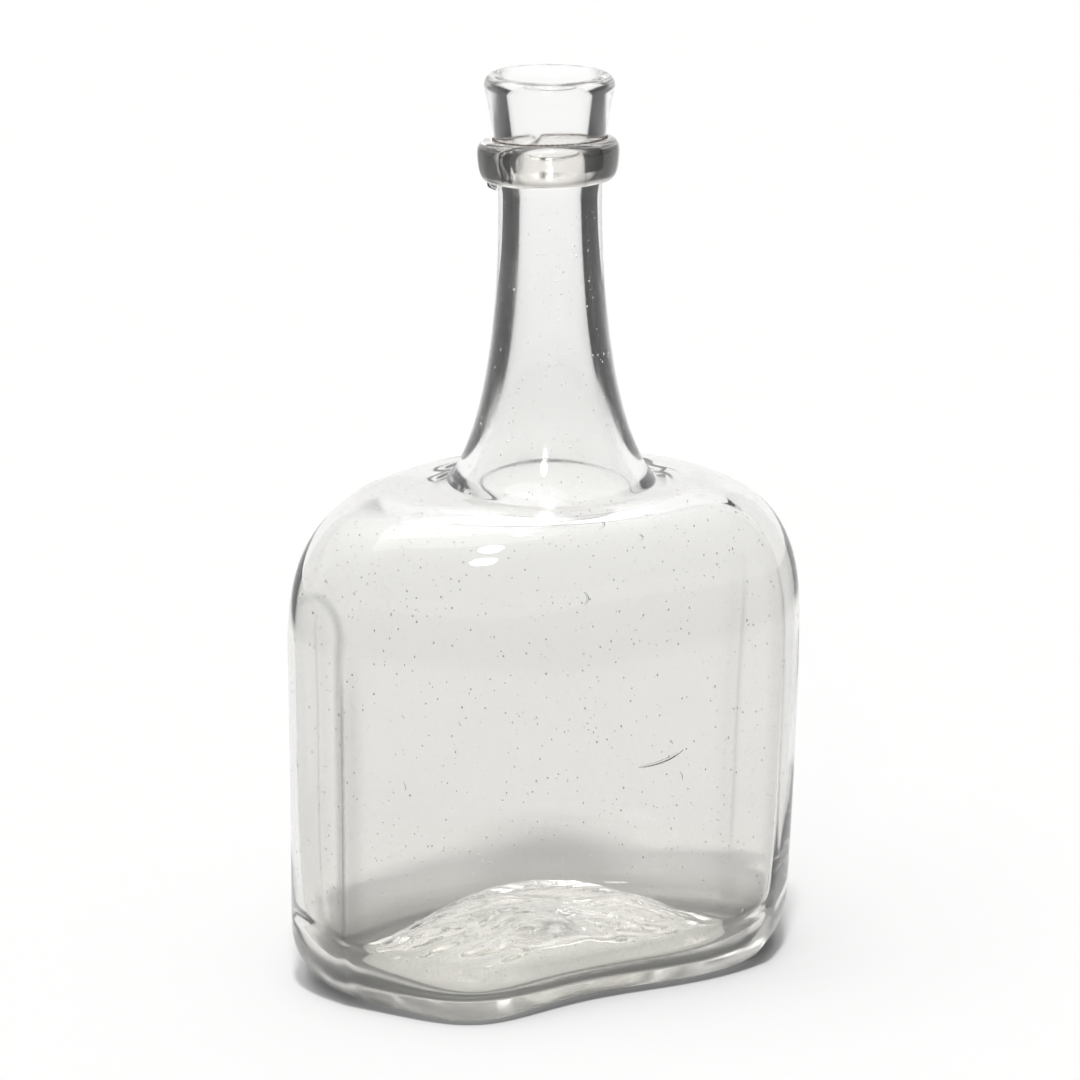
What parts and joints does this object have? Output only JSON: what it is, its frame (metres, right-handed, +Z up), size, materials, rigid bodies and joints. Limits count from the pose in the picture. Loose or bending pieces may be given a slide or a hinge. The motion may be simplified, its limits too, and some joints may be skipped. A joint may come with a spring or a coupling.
{
  "type": "bottle",
  "caption": "Clear free-blown bottle with a broad flattened body, ridged corners, kicked-up base, tall neck, flared mouth and a glass trail wound round the neck.",
  "frame": {"origin": "on the plane that the foot stands on, below the middle of the body's bounding box", "axes": "+Z up along the neck, +X along the width, the broad front faces -Y"},
  "size_m": [0.1389, 0.0794, 0.2407],
  "materials": {
    "clear_glass": "fire-polished clear glass with a faint grey-green cast and small seeds",
    "trail_glass": "fire-polished clear glass, greyer where it is thick",
    "scar_glass": "broken, rough glass"
  },
  "bodies": {
    "root": {"blown_vessel": "clear_glass", "neck_ring": "trail_glass", "pontil_scar": "scar_glass"}
  },
  "joints": []
}
